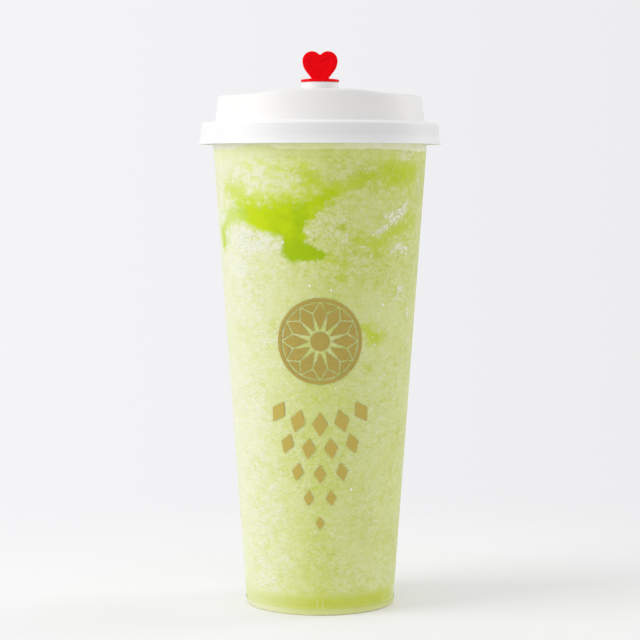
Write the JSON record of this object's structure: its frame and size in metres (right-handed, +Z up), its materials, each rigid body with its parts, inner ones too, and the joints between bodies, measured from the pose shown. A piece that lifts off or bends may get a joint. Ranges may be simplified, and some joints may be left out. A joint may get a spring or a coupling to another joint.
{
  "type": "honeydew smoothie",
  "caption": "Melon slush drink in a tall translucent takeaway cup with a domed press-fit lid and a heart-shaped stopper in its straw hole.",
  "frame": {"origin": "middle of the cup's foot ring, on the surface it stands on", "axes": "+Z up along the cup's axis; -Y towards the viewer who faces the flat of the heart; +X to that viewer's right"},
  "size_m": [0.0952, 0.0952, 0.2168],
  "materials": {
    "cup": "translucent satin polypropylene",
    "syrup": "wet melon syrup",
    "smoothie": "granular ice slush",
    "lid": "white satin polypropylene",
    "heart_plug": "red glossy polypropylene"
  },
  "bodies": {
    "root": {"cup": "cup", "syrup": "syrup", "smoothie": "smoothie", "lid": "lid", "heart_plug": "heart_plug"}
  },
  "joints": []
}
